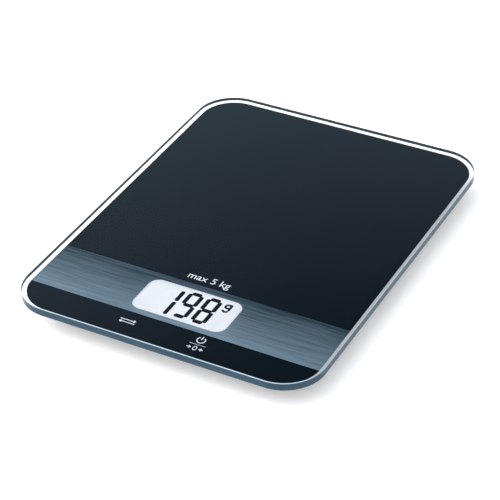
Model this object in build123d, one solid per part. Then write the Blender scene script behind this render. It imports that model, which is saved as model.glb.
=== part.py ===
"""A slim electronic kitchen scale with a glass platform, one STEP file per piece.

Frame: millimetres, +Z up, origin on the surface the scale stands on, under the centre of the glass.
X is the width and Y the depth, with the display and the keys towards -Y, where the user stands.
"""

import os

from build123d import *

# ---- Driving dimensions, in millimetres ------------------------------------------------------

# Glass platform
glass_width = 152.5
glass_depth = 200.0
glass_thickness = 4.0
glass_corner_radius = 19.7
glass_chamfer = 0.4

# Layers bonded under the glass
film_thickness = 0.15
print_inset = 2.5
band_from_front = 18.5
band_depth = 30.5
tape_thickness = 0.35
tape_inset = 0.6

# Display
display_from_front = 33.5
window_width = 47.9
window_depth = 23.4
window_radius = 5.2
lcd_margin_x = 4.05
lcd_margin_y = 2.8
lcd_clearance = 0.3
lcd_ledge = 4.0
lcd_plate_thickness = 0.75
polariser_thickness = 0.2
gasket_thickness = 0.4
lcd_frame_wall_x = 2.2
lcd_frame_wall_y = 1.4
lcd_seat = 2.5
zebra_width = 2.0
zebra_end_margin = 3.0
lcd_width = window_width + 2 * lcd_margin_x
lcd_depth = window_depth + 2 * lcd_margin_y

# Touch keys
key_spacing = 36.2
key_from_front = 13.8
key_spring_radius = 1.8
key_wire_radius = 0.2
key_spring_pitch = 0.9
key_hole_clearance = 0.4

# Casing
cover_rim_inset = 4.5
cover_base_inset = 13.0
cover_rim_gap = 0.2
cover_wall = 1.6
cover_floor = 1.8
cover_edge_radius = 2.0
chassis_inset = 8.0
chassis_thickness = 1.7
rib_thickness = 1.2
rib_depth = 1.0
rib_end_margin = 6.0
rib_spacing = 40.0
rib_rows = 3

# Feet
pad_radius = 7.5
pad_thickness = 1.5
pad_recess = 0.6
foot_cap_radius = 9.5
foot_cap_thickness = 1.5
foot_edge_radius = 0.5
foot_travel = 0.4
foot_travel_room = 0.4
foot_stem_radius = 5.2
foot_hole_clearance = 0.8
foot_collar_wall = 1.2
foot_collar_height = 1.2

# Load cells
cell_size = 24.0
cell_corner_radius = 3.0
cell_thickness = 1.2
cell_rail = 4.0
cell_slot = 2.0
cell_tongue_width = 11.0
cell_room_below = 2.4
cell_room_above = 2.2
cell_relief = 0.3
cell_inset_y = 14.0
foot_inset_x = 24.75
foot_inset_y = cell_size / 2 + cell_inset_y
gauge_width = 5.0
gauge_length = 2.8
gauge_height = 1.0
gauge_corner_radius = 0.56

# Screws
screw_radius = 1.0
screw_head_radius = 1.9
screw_head_height = 1.1
screw_hole_clearance = 0.15
pilot_clearance = 0.05
screw_tip_room = 0.4
foot_screw_length = 4.2
foot_pilot_length = 4.8
case_boss_radius = 3.6
chassis_boss_radius = 3.0
case_boss_joint_height = 2.0
case_screw_recess = 0.3
side_screw_inset = 18.25
side_screw_from_cell = 8.0
rear_screw_inset = 17.0
rear_screw_spacing = 44.0

# Circuit board
board_width = 72.0
board_from_front = 11.5
board_behind_cell = 16.0
board_depth = cell_inset_y + cell_size + board_behind_cell - board_from_front
board_corner_radius = 1.5
board_thickness = 1.2
board_post_length = 2.0
board_post_radius = 2.4
board_post_inset_x = 2.7
board_post_inset_y = 2.9
chip_radius = 6.0
chip_height = 1.1
chip_crown = 0.99
chip_offset = 9.0
crystal_size = (6.0, 2.2, 1.4)
crystal_corner_radius = 0.73
capacitor_size = (2.0, 1.25, 1.0)
capacitor_spacing = 5.0
capacitor_columns = 4

# Battery
coin_radius = 10.0
coin_thickness = 3.2
coin_edge_radius = 0.35
coin_clearance = 0.3
coin_lip = 0.3
coin_lip_width = 6.0
coin_lip_reach = 0.8
pocket_wall = 1.2
pocket_roof = 1.0
pocket_land = 1.2
pocket_from_board = 16.0
contact_thickness = 0.25
contact_width = 5.0
contact_foot = 3.4
contact_bow_room = 0.3
contact_bend_share = 0.5
contact_tip_share = 0.33
side_contact_angle = 26.0
side_contact_turn = 40.0
side_slot_degrees_per_mm = 4.0

# Battery door
door_width = 25.0
door_front_reach = 13.0
door_hinge_reach = 14.0
door_thickness = 1.6
door_gap = 0.3
door_barrel_radius = 1.5
door_pin_radius = 0.9
door_pin_clearance = 0.05
door_pin_length = 2.4
door_pin_end_room = 0.4
door_bearing_wall = 1.2
door_latch_width = 8.0
door_latch_length = 6.0
door_latch_slot = 0.8
scoop_width = 12.0
scoop_length = 5.0
scoop_depth = 1.1

# Leads from the load cells to the board
wire_radius = 0.4
wire_pitch = 0.85
wire_count = 3
lead_notch_margin = 0.6
lead_lane_inset = 30.75
lead_bend_radius = 2.4
lead_lane_bend_radius = 5.0
lead_end_reach = 3.8
lead_spacing_at_board = 4.0
lead_jog = 9.6
lead_turn_room = 3.4
clip_wall = 1.0
clip_length = 3.0
clip_clearance = 0.3
clip_toe = 0.6
clip_from_foot = 42.0

# Rating label, left blank
label_width = 50.0
label_depth = 30.0
label_radius = 2.0
label_thickness = 0.15
label_recess = 0.25
label_from_rear = 60.0
label_clearance = 0.3

# ---- Levels, from the floor up ---------------------------------------------------------------

z_foot = pad_thickness - pad_recess
z_foot_top = z_foot + foot_cap_thickness
z_cover = z_foot_top + foot_travel + foot_travel_room
z_floor = z_cover + cover_floor
z_cell = z_floor + cell_room_below
z_cell_top = z_cell + cell_thickness
z_chassis = z_cell_top + cell_room_above
z_tape = z_chassis + chassis_thickness
z_film = z_tape + tape_thickness
z_glass = z_film + film_thickness
z_top = z_glass + glass_thickness
z_rim = z_tape - cover_rim_gap
z_board_top = z_chassis - board_post_length
z_board = z_board_top - board_thickness
z_gasket = z_film - gasket_thickness
z_front_plate = z_gasket - polariser_thickness - lcd_plate_thickness
z_rear_plate = z_front_plate - lcd_plate_thickness
z_reflector = z_rear_plate - polariser_thickness
z_coin = z_floor + coin_lip
z_coin_top = z_coin + coin_thickness
z_pocket_roof = z_board_top + 2 * contact_thickness
z_hinge = z_cover + door_barrel_radius
z_wire = z_board_top + wire_radius

# ---- Places ----------------------------------------------------------------------------------

y_front = -glass_depth / 2
y_display = y_front + display_from_front
y_keys = y_front + key_from_front
y_board_front = y_front + board_from_front
y_board_rear = y_board_front + board_depth
y_pocket = y_board_rear + pocket_from_board
y_hinge = y_pocket + door_hinge_reach
y_door_front = y_pocket - door_front_reach
x_foot = glass_width / 2 - foot_inset_x
y_foot = glass_depth / 2 - foot_inset_y
x_lead_lane = glass_width / 2 - lead_lane_inset
x_lead_end = board_width / 2 - lead_end_reach
y_lead_lane_end = cell_size / 2 - y_foot + lead_turn_room + lead_spacing_at_board
clip_spacing = y_foot - clip_from_foot
y_label = glass_depth / 2 - label_from_rear
keys = {"unit": -key_spacing / 2, "tare": key_spacing / 2}
corners = {
    "front_left": (-1, -1),
    "front_right": (1, -1),
    "rear_left": (-1, 1),
    "rear_right": (1, 1),
}
ribbon_width = (wire_count - 1) * wire_pitch + 2 * wire_radius


# ---- Helpers ---------------------------------------------------------------------------------


def block(x, y, z):
    """A box from its low and high X, Y and Z."""
    size = [high - low for low, high in (x, y, z)]
    centre = [(high + low) / 2 for low, high in (x, y, z)]
    return Pos(*centre) * Box(*size)


def disc(radius, place, z):
    """An upright cylinder from its radius, centre and low and high Z."""
    return Pos(place[0], place[1], (z[0] + z[1]) / 2) * Cylinder(radius, z[1] - z[0])


def slab(width, depth, radius, place, z):
    """A rounded rectangle of given size, from low to high Z."""
    outline = Pos(place[0], place[1], z[0]) * RectangleRounded(width, depth, radius)
    return extrude(outline, z[1] - z[0])


def outline_slab(inset, z):
    """A slab with the glass outline, stepped in all round."""
    return slab(
        glass_width - 2 * inset,
        glass_depth - 2 * inset,
        glass_corner_radius - inset,
        (0, 0),
        z,
    )


def foot_place(corner):
    """The centre of the foot in a corner."""
    side, end = corners[corner]
    return side * x_foot, end * y_foot


def union(pieces):
    """All the pieces joined."""
    pieces = list(pieces)
    whole = pieces[0]
    for piece in pieces[1:]:
        whole = whole + piece
    return whole


def screw(place, z_seat, length, upward):
    """A pan-head screw whose head bears on z_seat, with its shank up or down from there."""
    turn = 1 if upward else -1
    head = disc(screw_head_radius, place, sorted((z_seat - turn * screw_head_height, z_seat)))
    shank = disc(screw_radius, place, sorted((z_seat, z_seat + turn * length)))
    rim = head.edges().filter_by(GeomType.CIRCLE).sort_by(Axis.Z)
    head = fillet(rim[0] if upward else rim[-1], screw_head_height / 2)
    return head + shank


# ---- Platform and the layers under it --------------------------------------------------------


def glass_platform():
    """The tempered glass plate, with polished edges."""
    plate = outline_slab(0, (z_glass, z_top))
    rims = plate.edges().group_by(Axis.Z)
    return chamfer(rims[0] + rims[-1], glass_chamfer)


def band_block():
    """The stretch of depth that the brushed band takes."""
    y_band = y_front + band_from_front
    return block((-glass_width, glass_width), (y_band, y_band + band_depth), (z_film, z_glass))


def print_part(front):
    """The black print in front of or behind the band."""
    sheet = outline_slab(print_inset, (z_film, z_glass)) - band_block()
    return sheet.solids().sort_by(Axis.Y)[0 if front else -1]


def brushed_band():
    """The brushed foil behind the clear stretch of the glass, with the display window."""
    window = slab(window_width, window_depth, window_radius, (0, y_display), (z_film, z_glass))
    return (outline_slab(print_inset, (z_film, z_glass)) & band_block()) - window


def mounting_tape():
    """The foam tape that holds the chassis to the glass."""
    z = (z_tape, z_film)
    return outline_slab(chassis_inset + tape_inset, z) - lcd_opening(z) - key_openings(z)


# ---- Chassis ---------------------------------------------------------------------------------


def lcd_frame_size():
    """Outer width and depth of the display frame."""
    width = lcd_width + 2 * (lcd_clearance + lcd_frame_wall_x)
    depth = lcd_depth + 2 * (lcd_clearance + lcd_frame_wall_y)
    return width, depth


def lcd_opening(z):
    """The opening that the display frame stands in."""
    width, depth = lcd_frame_size()
    x = width / 2 + lcd_clearance
    y = depth / 2 + lcd_clearance
    return block((-x, x), (y_display - y, y_display + y), z)


def key_openings(z):
    """The holes that the key springs pass through."""
    radius = key_spring_radius + key_wire_radius + key_hole_clearance
    return union(disc(radius, (x, y_keys), z) for x in keys.values())


def board_posts():
    """Centres of the four posts that carry the board."""
    x = board_width / 2 - board_post_inset_x
    y = (y_board_front + board_post_inset_y, y_board_rear - board_post_inset_y)
    return [(side * x, place) for side in (-1, 1) for place in y]


def case_screw_places():
    """Centres of the six screws that hold the cover."""
    x = glass_width / 2 - side_screw_inset
    y = y_foot - cell_size / 2 - side_screw_from_cell
    sides = [(side * x, end * y) for side in (-1, 1) for end in (-1, 1)]
    y_rear = glass_depth / 2 - rear_screw_inset
    return sides + [(side * rear_screw_spacing / 2, y_rear) for side in (-1, 1)]


def cell_screw_places(corner):
    """Centres of the two screws through a load cell's rails."""
    x, y = foot_place(corner)
    reach = cell_size / 2 - cell_rail / 2
    return [(x - reach, y), (x + reach, y)]


def cell_seat(corner):
    """The wall under the chassis that bears on a load cell's rails, with a notch for its lead."""
    x, y = foot_place(corner)
    z = (z_cell_top, z_chassis)
    opening_x = cell_size - 2 * cell_rail + 2 * cell_relief
    opening_y = opening_x
    wall = slab(cell_size, cell_size, cell_corner_radius, (x, y), z)
    wall -= block((x - opening_x / 2, x + opening_x / 2), (y - opening_y / 2, y + opening_y / 2), z)
    half = ribbon_width / 2 + lead_notch_margin
    inward = -corners[corner][1] * cell_size
    notch_z = (z_cell_top, z_wire + wire_radius + clip_clearance)
    return wall - block((x - half, x + half), sorted((y, y + inward)), notch_z)


def lead_clip(side, y):
    """A hook under the chassis that holds a rear lead."""
    x = side * x_lead_lane
    reach = ribbon_width / 2 + clip_clearance
    z_low = z_wire - wire_radius - clip_clearance
    length = (y - clip_length / 2, y + clip_length / 2)
    walls = [
        block(sorted((x + turn * reach, x + turn * (reach + clip_wall))), length, (z_low, z_chassis))
        for turn in (-1, 1)
    ]
    toe_x = sorted((x - side * (reach + clip_wall), x))
    return walls + [block(toe_x, length, (z_low - clip_toe, z_low))]


def chassis_ribs():
    """Stiffening ribs under the chassis, behind the battery pocket."""
    z = (z_chassis - rib_depth, z_chassis)
    y_start = y_hinge + rib_end_margin
    y_end = glass_depth / 2 - chassis_inset - rib_end_margin
    lengthwise = [
        block((x - rib_thickness / 2, x + rib_thickness / 2), (y_start, y_end), z)
        for x in (-rib_spacing / 2, rib_spacing / 2)
    ]
    x_end = x_lead_lane - ribbon_width - clip_wall
    step = (y_end - y_start) / rib_rows
    crosswise = [
        block((-x_end, x_end), (y_start + n * step, y_start + n * step + rib_thickness), z)
        for n in range(rib_rows)
    ]
    return lengthwise + crosswise


def chassis():
    """The moulded frame that joins the glass, the load cells and the board."""
    plate = outline_slab(chassis_inset, (z_chassis, z_tape))
    posts = [disc(board_post_radius, place, (z_board_top, z_chassis)) for place in board_posts()]
    z_joint = z_floor + case_boss_joint_height
    bosses = [disc(chassis_boss_radius, place, (z_joint, z_chassis)) for place in case_screw_places()]
    seats = [cell_seat(corner) for corner in corners]
    clips = [
        piece
        for side in (-1, 1)
        for n in (-1, 0, 1)
        for piece in lead_clip(side, n * clip_spacing)
    ]
    body = union([plate] + posts + bosses + seats + clips + chassis_ribs())
    body -= lcd_opening((z_chassis, z_tape))
    body -= key_openings((z_chassis, z_tape))
    pilot = screw_radius + pilot_clearance
    z_tip = z_tape - screw_tip_room
    for place in board_posts() + case_screw_places():
        body -= disc(pilot, place, (z_floor, z_tip))
    for corner in corners:
        for place in cell_screw_places(corner):
            body -= disc(pilot, place, (z_cell, z_tip))
    return body


# ---- Bottom cover ----------------------------------------------------------------------------


def cover_section(z, wall):
    """The cover's outline at a level, stepped in by a wall."""
    share = (z_rim - z) / (z_rim - z_cover)
    inset = cover_rim_inset + share * (cover_base_inset - cover_rim_inset) + wall
    width = glass_width - 2 * inset
    depth = glass_depth - 2 * inset
    return (Pos(0, 0, z) * RectangleRounded(width, depth, glass_corner_radius - inset)).face()


def cover_shell():
    """The tray with its sloping wall."""
    outside = loft([cover_section(z_cover, 0), cover_section(z_rim, 0)], ruled=True)
    outside = fillet(outside.edges().group_by(Axis.Z)[0], cover_edge_radius)
    sections = [cover_section(z_floor, cover_wall), cover_section(z_rim, cover_wall)]
    return outside - loft(sections, ruled=True)


def pocket_body():
    """The land over the door opening and the round cup for the coin cell."""
    centre = (0, y_pocket)
    cup_radius = coin_radius + coin_clearance + pocket_wall
    half = door_width / 2 + door_gap + pocket_wall
    y_rear = y_hinge - door_barrel_radius - door_gap
    y_land_front = y_door_front - door_gap - pocket_wall
    land = block((-half, half), (y_land_front, y_rear), (z_floor, z_floor + pocket_land))
    cup = disc(cup_radius, centre, (z_floor, z_pocket_roof + pocket_roof))
    behind = block((-half, half), (y_rear, y_rear + coin_radius), (0, z_top))
    return (land + cup) - behind


def pocket_cavity():
    """The space in the cup for the cell and its contacts."""
    centre = (0, y_pocket)
    bore = disc(coin_radius + coin_clearance, centre, (z_floor, z_pocket_roof))
    half = contact_width / 2 + coin_clearance
    y_slot = (y_pocket - 2 * coin_radius, y_pocket)
    top_slot = block((-half, half), y_slot, (z_coin_top - coin_clearance, z_pocket_roof))
    side_slot = side_contact_sector(coin_radius, pocket_wall / 2, coin_clearance)
    return bore + top_slot + side_slot + side_contact_foot(coin_clearance)


def coin_lips():
    """Two small ledges that keep the cell in when the door is open."""
    ring = disc(coin_radius + coin_clearance, (0, y_pocket), (z_floor, z_coin))
    ring -= disc(coin_radius - coin_lip_reach, (0, y_pocket), (z_floor, z_coin))
    half = coin_lip_width / 2
    reach = 2 * coin_radius
    return ring & block((-reach, reach), (y_pocket - half, y_pocket + half), (z_floor, z_coin))


def door_opening():
    """The opening that the battery door closes."""
    half = door_width / 2 + door_gap
    y_rear = y_hinge + door_barrel_radius + door_gap
    return block((-half, half), (y_door_front - door_gap, y_rear), (z_cover, z_floor))


def door_bearings():
    """The two blocks beside the door's barrel."""
    half = door_width / 2 + door_gap
    end = half + door_pin_length + door_pin_end_room + door_bearing_wall - door_gap
    reach = door_pin_radius + door_pin_clearance + door_bearing_wall
    y = (y_hinge - reach, y_hinge + reach)
    z = (z_cover, z_hinge + reach)
    return [block((half, end), y, z), block((-end, -half), y, z)]


def door_bores():
    """The bores that the door's pins turn in."""
    half = door_width / 2 + door_pin_length + door_pin_end_room
    rod = Cylinder(door_pin_radius + door_pin_clearance, 2 * half)
    return Pos(0, y_hinge, z_hinge) * Rot(0, 90, 0) * rod


def scoop():
    """The finger scoop in front of the door's latch."""
    y_centre = y_door_front - door_gap - scoop_length / 2
    radius = ((scoop_length / 2) ** 2 + scoop_depth**2) / (2 * scoop_depth)
    rod = Rot(0, 90, 0) * Cylinder(radius, scoop_width)
    return Pos(0, y_centre, z_cover + scoop_depth - radius) * rod


def bottom_cover():
    """The moulded tray that closes the scale from below."""
    body = cover_shell()
    z_joint = z_floor + case_boss_joint_height
    bosses = [disc(case_boss_radius, place, (z_floor, z_joint)) for place in case_screw_places()]
    collar_radius = foot_stem_radius + foot_hole_clearance + foot_collar_wall
    collars = [
        disc(collar_radius, foot_place(corner), (z_floor, z_floor + foot_collar_height))
        for corner in corners
    ]
    body = union([body] + bosses + collars)
    body -= door_opening()
    body = union([body, pocket_body()] + door_bearings())
    body -= pocket_cavity()
    body += coin_lips()
    body -= door_bores()
    body -= scoop()
    for place in case_screw_places():
        body -= disc(screw_radius + screw_hole_clearance, place, (z_cover, z_joint))
        sink = screw_head_radius + screw_hole_clearance
        body -= disc(sink, place, (z_cover, case_screw_seat()))
    for corner in corners:
        hole = foot_stem_radius + foot_hole_clearance
        body -= disc(hole, foot_place(corner), (z_cover, z_floor + foot_collar_height))
    recess = (z_cover, z_cover + label_recess)
    body -= slab(label_width, label_depth, label_radius, (0, y_label), recess)
    return body


def case_screw_seat():
    """The level that the cover's screw heads bear on."""
    return z_cover + case_screw_recess + screw_head_height


# ---- Feet and load cells ---------------------------------------------------------------------


def foot_cap(corner):
    """A moulded foot: a disc outside the cover and a stem up to the load cell."""
    place = foot_place(corner)
    base = disc(foot_cap_radius, place, (z_foot, z_foot_top))
    base = fillet(base.edges().filter_by(GeomType.CIRCLE), foot_edge_radius)
    stem = disc(foot_stem_radius, place, (z_foot_top, z_cell))
    body = base + stem
    body -= disc(pad_radius, place, (z_foot, z_foot + pad_recess))
    return body - disc(screw_radius + pilot_clearance, place, (z_cell - foot_pilot_length, z_cell))


def foot_pad(corner):
    """The rubber pad that the scale stands on."""
    pad = disc(pad_radius, foot_place(corner), (0, pad_thickness))
    return fillet(pad.edges().filter_by(GeomType.CIRCLE).sort_by(Axis.Z)[0], foot_edge_radius)


def load_cell(corner):
    """A stamped steel half-bridge cell: rails round a sprung tongue."""
    x, y = foot_place(corner)
    inward = -corners[corner][1]
    z = (z_cell, z_cell_top)
    half = cell_size / 2 - cell_rail
    plate = slab(cell_size, cell_size, cell_corner_radius, (x, y), z)
    plate -= block((x - half, x + half), (y - half, y + half), z)
    tongue_x = (x - cell_tongue_width / 2, x + cell_tongue_width / 2)
    tongue_y = sorted((y - inward * (half - cell_slot), y + inward * (half + cell_rail / 2)))
    plate += block(tongue_x, tongue_y, z)
    plate -= disc(screw_radius + screw_hole_clearance, (x, y), z)
    for place in cell_screw_places(corner):
        plate -= disc(screw_radius + screw_hole_clearance, place, z)
    return plate


def gauge_face(corner):
    """Where the leads leave a strain gauge, along Y."""
    y = foot_place(corner)[1]
    return y - corners[corner][1] * (cell_size / 2 - cell_rail)


def strain_gauge(corner):
    """The strain gauge on the tongue's root, under its sealing compound."""
    x = foot_place(corner)[0]
    face = gauge_face(corner)
    y = sorted((face, face + corners[corner][1] * gauge_length))
    z = (z_cell_top, z_cell_top + gauge_height)
    body = block((x - gauge_width / 2, x + gauge_width / 2), y, z)
    return fillet(body.edges().filter_by(Axis.Z), gauge_corner_radius)


def foot_screw(corner):
    """The screw that joins a load cell's tongue to its foot."""
    return screw(foot_place(corner), z_cell_top, foot_screw_length, False)


def load_cell_screws():
    """The eight screws that hold the load cells to the chassis."""
    length = z_tape - screw_tip_room - z_cell - screw_tip_room
    places = [place for corner in corners for place in cell_screw_places(corner)]
    return [screw(place, z_cell, length, True) for place in places]


def case_screws():
    """The six screws that hold the cover to the chassis."""
    seat = case_screw_seat()
    length = z_tape - 2 * screw_tip_room - seat
    return [screw(place, seat, length, True) for place in case_screw_places()]


# ---- Circuit board and display ---------------------------------------------------------------


def circuit_board():
    """The board that carries the display, the keys and the battery contacts."""
    y_centre = (y_board_front + y_board_rear) / 2
    z = (z_board, z_board_top)
    body = slab(board_width, board_depth, board_corner_radius, (0, y_centre), z)
    for place in board_posts():
        body -= disc(screw_radius + screw_hole_clearance, place, z)
    return body


def board_screws():
    """The four screws that hold the board to the chassis."""
    length = z_tape - 2 * screw_tip_room - z_board
    return [screw(place, z_board, length, True) for place in board_posts()]


def controller_chip():
    """The bonded chip under its drop of resin."""
    z = (z_board - chip_height, z_board)
    body = disc(chip_radius, (-chip_offset, y_display), z)
    return fillet(body.edges().filter_by(GeomType.CIRCLE).sort_by(Axis.Z)[0], chip_crown)


def crystal():
    """The clock crystal beside the chip."""
    length, width, height = crystal_size
    x = chip_offset
    y = (y_display - width / 2, y_display + width / 2)
    body = block((x, x + length), y, (z_board - height, z_board))
    return fillet(body.edges().filter_by(Axis.Z), crystal_corner_radius)


def capacitors():
    """Small capacitors in two rows under the board."""
    length, width, height = capacitor_size
    z = (z_board - height, z_board)
    pieces = []
    for row in (-1, 1):
        y = y_display + row * (chip_radius + capacitor_spacing / 2)
        for n in range(capacitor_columns):
            x = (n - (capacitor_columns - 1) / 2) * capacitor_spacing
            pieces.append(block((x, x + length), (y, y + width), z))
    return pieces


def lcd_sheet(width, low, high, z):
    """A flat layer of the display, between two distances from its front edge."""
    y = y_display - lcd_depth / 2
    return block((-width / 2, width / 2), (y + low, y + high), z)


def lcd_front_plate():
    """The display's front glass, which reaches past the rear one at the contacts."""
    return lcd_sheet(lcd_width, 0, lcd_depth, (z_front_plate, z_front_plate + lcd_plate_thickness))


def lcd_rear_plate():
    """The display's rear glass."""
    return lcd_sheet(lcd_width, 0, lcd_depth - lcd_ledge, (z_rear_plate, z_front_plate))


def lcd_polariser():
    """The polarising film on the display's face."""
    return lcd_sheet(lcd_width, 0, lcd_depth, (z_gasket - polariser_thickness, z_gasket))


def lcd_reflector():
    """The reflecting film behind the display."""
    return lcd_sheet(lcd_width, 0, lcd_depth - lcd_ledge, (z_reflector, z_rear_plate))


def lcd_frame():
    """The moulded frame that holds the display on the board."""
    width, depth = lcd_frame_size()
    body = slab(width, depth, lcd_frame_wall_y, (0, y_display), (z_board_top, z_gasket))
    x = lcd_width / 2 + lcd_clearance
    y = lcd_depth / 2 + lcd_clearance
    body -= block((-x, x), (y_display - y, y_display + y), (z_reflector, z_gasket))
    low = block(
        (-x + lcd_seat, x - lcd_seat),
        (y_display - y + lcd_seat, y_display + y),
        (z_board_top, z_reflector),
    )
    return body - low


def lcd_gasket():
    """The foam gasket between the display frame and the glass."""
    width, depth = lcd_frame_size()
    z = (z_gasket, z_film)
    opening_x = (window_width + lcd_width) / 2
    opening_y = (window_depth + lcd_depth) / 2
    body = slab(width, depth, lcd_frame_wall_y, (0, y_display), z)
    return body - slab(opening_x, opening_y, window_radius, (0, y_display), z)


def zebra_strip():
    """The striped rubber connector between the board and the display."""
    half = lcd_width / 2 - zebra_end_margin
    y = y_display + lcd_depth / 2 - (lcd_ledge - zebra_width) / 2
    return block((-half, half), (y - zebra_width, y), (z_board_top, z_front_plate))


def key_spring(x):
    """The coiled touch electrode between the board and the glass."""
    low = z_board_top + key_wire_radius
    height = z_film - key_wire_radius - low
    turns = round(height / key_spring_pitch)
    coil = Helix(pitch=height / turns, height=height, radius=key_spring_radius)
    section = Plane(origin=coil @ 0, z_dir=coil % 0) * Circle(key_wire_radius)
    return Pos(x, y_keys, low) * sweep(section, path=coil, is_frenet=True)


# ---- Battery, its contacts and its door ------------------------------------------------------


def coin_cell():
    """The coin cell."""
    body = disc(coin_radius, (0, y_pocket), (z_coin, z_coin_top))
    return fillet(body.edges().filter_by(GeomType.CIRCLE), coin_edge_radius)


def top_contact():
    """The sprung strip that bears on the cell's upper face."""
    level = z_board_top
    bend = y_pocket - contact_bend_share * coin_radius
    centre_line = [
        (y_board_rear - contact_foot, level),
        (y_pocket - coin_radius - pocket_wall, level),
        (bend, level),
        (y_pocket, z_coin_top),
        (y_pocket + contact_tip_share * coin_radius, z_coin_top + contact_bow_room),
    ]
    over = [(y, z + contact_thickness) for y, z in reversed(centre_line)]
    points = [(0, y, z) for y, z in centre_line + over]
    face = make_face(Polyline(*points, close=True))
    return extrude(face, contact_width / 2, dir=(1, 0, 0), both=True)


def side_contact_sector(radius, thickness, margin):
    """A sector of a ring round the cell, where the side contact stands."""
    z = (z_coin, z_board_top + contact_thickness + margin)
    ring = disc(radius + thickness, (0, y_pocket), z) - disc(radius, (0, y_pocket), z)
    reach = glass_width
    half = side_contact_angle / 2 + margin * side_slot_degrees_per_mm
    low = Pos(0, y_pocket, 0) * Rot(0, 0, -90 - side_contact_turn - half)
    high = Pos(0, y_pocket, 0) * Rot(0, 0, -90 - side_contact_turn + half)
    above_low = low * block((0, reach), (0, reach), (0, z_top))
    below_high = high * block((0, reach), (-reach, 0), (0, z_top))
    return ring & above_low & below_high


def side_contact_foot(margin):
    """The strip that runs from the side contact's blade to the board."""
    box = side_contact_sector(coin_radius, contact_thickness, 0).bounding_box()
    x = (box.min.X - margin, box.max.X + margin)
    z = (z_board_top - margin, z_board_top + contact_thickness + margin)
    strip = block(x, (y_board_rear - contact_foot, y_pocket), z)
    return strip - disc(coin_radius, (0, y_pocket), z)


def side_contact():
    """The curved strip that bears on the cell's rim, with its foot on the board."""
    return side_contact_sector(coin_radius, contact_thickness, 0) + side_contact_foot(0)


def battery_door():
    """The hinged door, with a barrel and two pins at the rear and a latch tongue in front."""
    half = door_width / 2
    panel = block((-half, half), (y_door_front, y_hinge), (z_cover, z_cover + door_thickness))
    barrel = Pos(0, y_hinge, z_hinge) * Rot(0, 90, 0) * Cylinder(door_barrel_radius, door_width)
    pins = Cylinder(door_pin_radius, door_width + 2 * door_pin_length)
    body = panel + barrel + Pos(0, y_hinge, z_hinge) * Rot(0, 90, 0) * pins
    y_slot = (y_door_front, y_door_front + door_latch_length)
    z = (z_cover, z_cover + door_thickness)
    for side in (-1, 1):
        x = side * door_latch_width / 2
        body -= block(sorted((x, x + side * door_latch_slot)), y_slot, z)
    return body


# ---- Leads and label -------------------------------------------------------------------------


def lead_route(corner):
    """The corner points of a load cell's lead, from its gauge to the board."""
    side, end = corners[corner]
    x = side * x_foot
    start = gauge_face(corner)
    y_board = y_lead_lane_end - (0 if end > 0 else lead_spacing_at_board)
    finish = (side * x_lead_end, y_board)
    if end < 0:
        return [(x, start), (x, y_board), finish]
    lane = side * x_lead_lane
    return [(x, start), (x, start - lead_jog), (lane, start - 2 * lead_jog), (lane, y_board), finish]


def sensor_lead(corner):
    """The three wires of a load cell, side by side along their route."""
    points = [(x, y, z_wire) for x, y in lead_route(corner)]
    radii = [lead_bend_radius]
    if len(points) == 5:
        radii = [lead_lane_bend_radius, lead_lane_bend_radius, lead_bend_radius]
    path = FilletPolyline(*points, radius=radii)
    offsets = [(n - (wire_count - 1) / 2) * wire_pitch for n in range(wire_count)]
    start = Plane(origin=path @ 0, x_dir=(1, 0, 0), z_dir=path % 0)
    return [sweep(start * Pos(offset, 0) * Circle(wire_radius), path=path) for offset in offsets]


def rating_label():
    """The blank label under the cover."""
    z_outer = z_cover + label_recess - label_thickness
    z = (z_outer, z_cover + label_recess)
    width = label_width - 2 * label_clearance
    depth = label_depth - 2 * label_clearance
    return slab(width, depth, label_radius - label_clearance, (0, y_label), z)


# ---- Assembly --------------------------------------------------------------------------------


def pieces():
    """Every piece of the scale, by name."""
    scale = {
        "glass_platform": glass_platform(),
        "rear_print": print_part(front=False),
        "front_print": print_part(front=True),
        "brushed_band": brushed_band(),
        "mounting_tape": mounting_tape(),
        "chassis": chassis(),
        "bottom_cover": bottom_cover(),
        "case_screws": case_screws(),
        "load_cell_screws": load_cell_screws(),
        "board_screws": board_screws(),
        "circuit_board": circuit_board(),
        "controller_chip": controller_chip(),
        "crystal": crystal(),
        "capacitors": capacitors(),
        "lcd_front_plate": lcd_front_plate(),
        "lcd_rear_plate": lcd_rear_plate(),
        "lcd_polariser": lcd_polariser(),
        "lcd_reflector": lcd_reflector(),
        "lcd_frame": lcd_frame(),
        "lcd_gasket": lcd_gasket(),
        "zebra_strip": zebra_strip(),
        "coin_cell": coin_cell(),
        "top_contact": top_contact(),
        "side_contact": side_contact(),
        "battery_door": battery_door(),
        "rating_label": rating_label(),
    }
    for name, x in keys.items():
        scale[f"{name}_key_spring"] = key_spring(x)
    for corner in corners:
        scale[f"foot_cap_{corner}"] = foot_cap(corner)
        scale[f"foot_pad_{corner}"] = foot_pad(corner)
        scale[f"foot_screw_{corner}"] = foot_screw(corner)
        scale[f"load_cell_{corner}"] = load_cell(corner)
        scale[f"strain_gauge_{corner}"] = strain_gauge(corner)
        scale[f"sensor_lead_{corner}"] = sensor_lead(corner)
    return scale


def main():
    """Write one STEP file per piece."""
    os.makedirs("parts", exist_ok=True)
    for name, piece in pieces().items():
        shape = Compound(children=piece) if isinstance(piece, list) else piece
        export_step(shape, f"parts/{name}.step")


main()
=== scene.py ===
"""A slim glass kitchen scale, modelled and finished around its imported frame. Metres, +Z up."""

import logging
import math
from dataclasses import dataclass, field
from enum import Enum
from typing import Callable, Iterable, Sequence

import bmesh
import bpy
from mathutils import Matrix, Vector


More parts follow.
